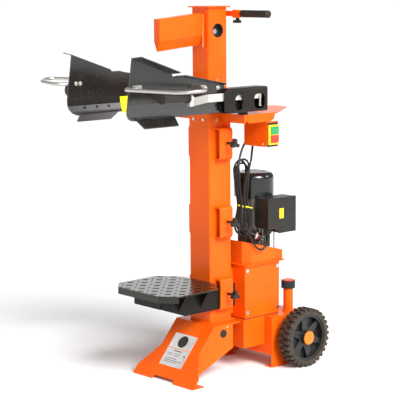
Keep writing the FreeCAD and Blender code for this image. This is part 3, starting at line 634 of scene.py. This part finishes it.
# ram hole, cap top, grip end
holeShadePlan = {"radius": 28.6, "inner": 26.4, "start": 28.4, "deep": 22.6, "floor": 1.2, "height": 1420.0}


# Black cup set into each ram hole: painted shade for the hole's shadowed inside, partly also standing in for
# the dark cylinder inside the ram.
def holeShadeCup(plan):
    steps = [(0, plan["radius"]), (plan["deep"], plan["radius"])]
    steps += [(plan["deep"], plan["inner"]), (plan["floor"], plan["inner"])]
    for side, sign in (("right", 1), ("left", -1)):
        shadeCup = turned("holeLiner_" + side, steps, 48)
        place = aimed(real(sign * plan["start"], 0, plan["height"]), (sign, 0, 0))
        settle(shadeCup, place, innerBlack, "ram")


holeShadeCup(holeShadePlan)

endPlan = {"cap": {"spot": (118, 340, 351.9), "steps": [(0, 24.5), (2.6, 24.5), (3.4, 23.6), (3.4, 19.0),
                                                        (2.8, 18.4), (3.2, 6.0)]},
           "grip": {"spot": (271.9, 68, 1487), "steps": [(0, 14.6), (2.0, 14.6), (3.0, 13.4), (3.0, 9.0),
                                                         (1.6, 8.4), (2.2, 3.0)]}}
capTop = turned("capTop", endPlan["cap"]["steps"], 40)
settle(capTop, aimed(real(*endPlan["cap"]["spot"]), (0, 0, 1)), capRed, "filler_cap")
gripEnd = turned("gripEnd", endPlan["grip"]["steps"], 36)
settle(gripEnd, aimed(real(*endPlan["grip"]["spot"]), (1, 0, 0)), handleRubber, "ram")
print("ends and caps set")


# strain reliefs and the tie round the hank
reliefPlan = {"ribs": 5, "length": 30.0, "wide": 8.4, "thin": 5.3}


def strainRelief(name, at, along, body, plan):
    steps = [(0, plan["wide"] + 2.2), (3, plan["wide"] + 2.2)]
    pitch = (plan["length"] - 3) / plan["ribs"]
    for rib in range(plan["ribs"]):
        share = rib / plan["ribs"]
        r = plan["wide"] + (plan["thin"] - plan["wide"]) * share
        low = 3 + rib * pitch
        steps += [(low, r * 0.9), (low + pitch * 0.3, r * 0.9)]
        steps += [(low + pitch * 0.3, r), (low + pitch, r * 0.96)]
    steps += [(plan["length"], plan["thin"] * 0.97)]
    return settle(turned(name, steps, 28), aimed(at, along), cordRubber, body)


strainRelief("mainsRelief", real(142, 165, 1003), (-1, 0, 0), "frame", reliefPlan)
shortRelief = dict(reliefPlan, length=22.0, ribs=4)
strainRelief("motorReliefTop", real(142, 165, 975), (-1, 0, 0), "frame", shortRelief)
strainRelief("motorReliefGland", real(146, 190, 562), (0, 0, -1), "frame", shortRelief)


tiePlan = {"half": (16.0, 24.0), "height": 6.5, "thick": 1.3, "middle": (73.5, 115.0, 690.0), "tilt": -17,
           "lock": (9.0, 8.0, 7.0, 1.0, 1.6), "lockAt": (0.8, -6.0, 0.0), "tail": (34.0, 4.6, 1.2, 1.2),
           "tailAt": (6.0, 14.0, 2.0), "tailTurn": 64}


def cableTie(plan):
    wide, deep = plan["half"]
    freeSelection()
    bpy.ops.mesh.primitive_cylinder_add(vertices=40, radius=0.001, depth=plan["height"] / metre,
                                        end_fill_type="NOTHING")
    band = bpy.context.active_object
    band.name = "hankTie"
    bpy.ops.object.mode_set(mode="EDIT")
    bpy.ops.mesh.select_all(action="SELECT")
    bpy.ops.transform.resize(value=(wide, deep, 1))
    bpy.ops.object.mode_set(mode="OBJECT")
    wall = band.modifiers.new("wall", "SOLIDIFY")
    wall.thickness = plan["thick"] / metre
    wall.offset = 1.0
    bpy.ops.object.modifier_apply(modifier="wall")
    soften(band, 0.3)
    quarter = math.radians(90)
    x, y, z = plan["lockAt"]
    lock = plateShape("hankTieLock", *plan["lock"])
    place = Matrix.Translation((wide / metre + x / metre, y / metre, z))
    lock.data.transform(place @ Matrix.Rotation(quarter, 4, "Y"))
    x, y, z = plan["tailAt"]
    tail = plateShape("hankTieTail", *plan["tail"])
    place = Matrix.Translation((wide / metre + x / metre, y / metre, z / metre))
    place = place @ Matrix.Rotation(math.radians(plan["tailTurn"]), 4, "Z")
    tail.data.transform(place @ Matrix.Rotation(quarter, 4, "X"))
    band = joined(band, lock, tail)
    tilt = Matrix.Rotation(math.radians(plan["tilt"]), 4, "X")
    settle(band, Matrix.Translation(real(*plan["middle"])) @ tilt, stickerYellow, "frame")


cableTie(tiePlan)


plugPlan = {"start": (80.0, 154.6, 572.0), "along": (24.0, 38.0, -20.0)}


def plugDetails(plan):
    along = Vector(plan["along"]).normalized()
    start = real(*plan["start"])
    ring = turned("plugRing", [(0, 18.9), (1.2, 19.3), (5.5, 19.3), (6.7, 18.9)], 40)
    settle(ring, aimed(start + along * 0.036, along), cordRubber, "frame")
    band = turned("plugLabelWhite", [(0, 14.2), (0.6, 14.6), (5.6, 16.9), (6.2, 17.0)], 40)
    settle(band, aimed(start + along * 0.0215, along), labelWhite, "frame")
    band = turned("plugLabelRed", [(0, 16.9), (0.6, 17.4), (4.6, 18.5), (5.0, 18.5)], 40)
    settle(band, aimed(start + along * 0.0278, along), redPlastic, "frame")
    pins = []
    across = along.cross(Vector((0, 0, 1))).normalized()
    upright = across.cross(along)
    for right, rise in ((-6.5, -4.0), (6.5, -4.0), (0.0, 7.0)):
        spot = start + along * 0.0445 + across * right / metre + upright * rise / metre
        pins.append(aimed(spot, along))
    pin = turned("plugPin", [(0, 2.4), (15, 2.4), (16.4, 1.6)], 16)
    scatter(pin, "plugPin", pins, zinc, "frame")


plugDetails(plugPlan)
print("cord pieces set")


# camera
cameraPlan = {"spot": (4.437, -3.95014, 1.635), "turn": 48.11, "down": 8.66, "roll": -0.39, "lens": 131.895}


def placeCamera(plan):
    turn, down, roll = (math.radians(plan[key]) for key in ("turn", "down", "roll"))
    ahead = Vector((-math.sin(turn) * math.cos(down), math.cos(turn) * math.cos(down), -math.sin(down)))
    level = Vector((math.cos(turn), math.sin(turn), 0.0))
    upright = level.cross(ahead)
    across = level * math.cos(roll) + upright * math.sin(roll)
    upright = upright * math.cos(roll) - level * math.sin(roll)
    lens = bpy.data.cameras.new("studioCamera")
    lens.lens = plan["lens"]
    lens.sensor_width = 36.0
    lens.clip_end = 2000.0
    camera = bpy.data.objects.new("studioCamera", lens)
    bpy.context.scene.collection.objects.link(camera)
    facing = Matrix((across, upright, -ahead)).transposed().to_4x4()
    camera.matrix_world = Matrix.Translation(plan["spot"]) @ facing
    bpy.context.scene.camera = camera
    return camera


placeCamera(cameraPlan)
print("camera placed")


# cords
def cordCurve(name, points, width, finish):
    line = bpy.data.curves.new(name, "CURVE")
    line.dimensions = "3D"
    line.bevel_depth = width / 2.0
    line.bevel_resolution = 4
    line.use_fill_caps = True
    line.resolution_u = 8
    run = line.splines.new("NURBS")
    run.points.add(len(points) - 1)
    for spot, place in zip(run.points, points):
        spot.co = (*place, 1.0)
    run.order_u = 3
    run.use_endpoint_u = True
    made = bpy.data.objects.new(name, line)
    bpy.context.scene.collection.objects.link(made)
    line.materials.append(finish)
    return made


mainsPlan = {"width": 0.009, "length": 2.6, "middle": 115.0, "tie": 690.0, "pinch": 15.0,
             "turns": [{"top": 889.0, "foot": 566.0, "topHalf": 34.0, "footHalf": 34.0, "x": 84.0},
                       {"top": 872.0, "foot": 584.0, "topHalf": 38.0, "footHalf": 33.0, "x": 74.5},
                       {"top": 882.0, "foot": 573.0, "topHalf": 33.0, "footHalf": 36.0, "x": 65.0}]}


def fold(half, level, sign):
    # a round end of the hank, drawn from one leg to the other
    spots = []
    for step in range(6):
        turn = math.radians(36.0 * step)
        spots.append((sign * half * math.cos(turn), level + sign * half * math.sin(turn)))
    return spots


def hankPoints(plan):
    spots = []
    tie, pinch = plan["tie"], plan["pinch"]
    for turn in plan["turns"]:
        wide, low = turn["topHalf"], turn["footHalf"]
        top, foot = turn["top"] - wide, turn["foot"] + low
        narrow, half = (wide + pinch) / 2, (top + tie) / 2
        both = [(-narrow, half), (-pinch, tie), (-low * 0.95, foot + 24)] + fold(low, foot, -1)
        both += [(low * 0.95, foot + 24), (pinch, tie), (narrow, half), (wide * 0.95, top - 24)]
        both += fold(wide, top, 1) + [(-wide * 0.95, top - 24)]
        for step, (y, z) in enumerate(both):
            spots.append((turn["x"] - 9.5 * step / len(both), plan["middle"] + y, z))
    return spots


mainsPoints = [(142, 165, 1003), (100, 165, 1003), (70, 150, 975), (60, 130, 938), (67, 108, 905),
               (77, 90, 872), (84, 84, 835)]
mainsPoints += hankPoints(mainsPlan)
mainsPoints += [(58, 88, 785), (60, 98, 720), (63, 104, 660), (60, 112, 620), (67.0, 134.0, 582.9),
                (82.5, 158.4, 569.9)]
mainsCord = cordCurve("mainsLead", [real(*spot) for spot in mainsPoints], mainsPlan["width"], cordRubber)
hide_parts("mains_cord", "mains_hank")
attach(mainsCord, "frame")

motorPlan = {"width": 0.009, "length": 0.602}
motorPoints = [(146, 190, 562), (146, 190, 523), (138, 153, 505), (131, 120, 538), (123, 100, 590),
               (109, 95, 650), (102, 98, 735), (103, 104, 800), (108, 128, 870), (92, 150, 908),
               (84, 163, 944), (102, 165, 979), (142, 165, 975)]
motorCord = cordCurve("motorLead", [real(*spot) for spot in motorPoints], motorPlan["width"], cordRubber)
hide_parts("motor_cable")
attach(motorCord, "frame")
tuple(real(142, 165, 1003))
tuple(real(146, 190, 562))
print("cords drawn")


# studio
studioPlan = {"floorHalf": 400.0, "world": 0.26,
              "suns": [{"name": "keySun", "from": (0.80, -0.16, 0.62), "power": 4.6, "spread": 30.0},
                       {"name": "frontSun", "from": (-0.25, -0.9, 0.45), "power": 0.25, "spread": 60.0}],
              "panels": [{"name": "backPanel", "spot": (-5.2, 4.6, 1.6), "size": 5.0, "power": 95.0},
                         {"name": "sidePanel", "spot": (4.6, 0.6, 2.6), "size": 1.6, "power": 34.0},
                         {"name": "rimPanel", "spot": (3.2, 3.7, 3.2), "size": 1.5, "power": 48.0},
                         {"name": "cameraPanel", "spot": (3.9, -3.3, 3.0), "size": 1.1, "power": 26.0},
                         {"name": "leftPanel", "spot": (-3.6, -3.2, 2.2), "size": 2.0, "power": 14.0}]}


def setStudio(plan):
    bpy.ops.object.select_all(action="DESELECT")
    bpy.ops.mesh.primitive_plane_add(size=plan["floorHalf"] * 2, location=(0, 0, -0.0002))
    floor = bpy.context.active_object
    floor.name = "studioFloor"
    p = Paint("studioFloorPaint")
    cloud = p.noise(0.8, 2.0)
    pale = p.blendColours(cloud, (0.90, 0.90, 0.90), (0.92, 0.92, 0.915))
    floor.data.materials.append(p.finish(pale, 0.9, 0.0))
    world = bpy.data.worlds.new("studioAir")
    world.use_nodes = True
    air = world.node_tree.nodes["Background"]
    air.inputs["Color"].default_value = (1.0, 1.0, 1.0, 1.0)
    air.inputs["Strength"].default_value = plan["world"]
    bpy.context.scene.world = world
    for sun in plan["suns"]:
        lamp = bpy.data.lights.new(sun["name"], "SUN")
        lamp.energy = sun["power"]
        lamp.angle = math.radians(sun["spread"])
        hang(lamp, sun["from"], Vector(sun["from"]) * -1)
    for panel in plan["panels"]:
        lamp = bpy.data.lights.new(panel["name"], "AREA")
        lamp.energy = panel["power"]
        lamp.size = panel["size"]
        hang(lamp, panel["spot"], Vector((0, 0, 0.8)) - Vector(panel["spot"]))


def hang(lamp, spot, aim):
    holder = bpy.data.objects.new(lamp.name, lamp)
    bpy.context.scene.collection.objects.link(holder)
    holder.location = spot
    holder.rotation_euler = aim.to_track_quat("-Z", "Y").to_euler()


setStudio(studioPlan)
bpy.context.scene.view_settings.view_transform = "Standard"
bpy.context.scene.view_settings.look = "None"
print("studio set")
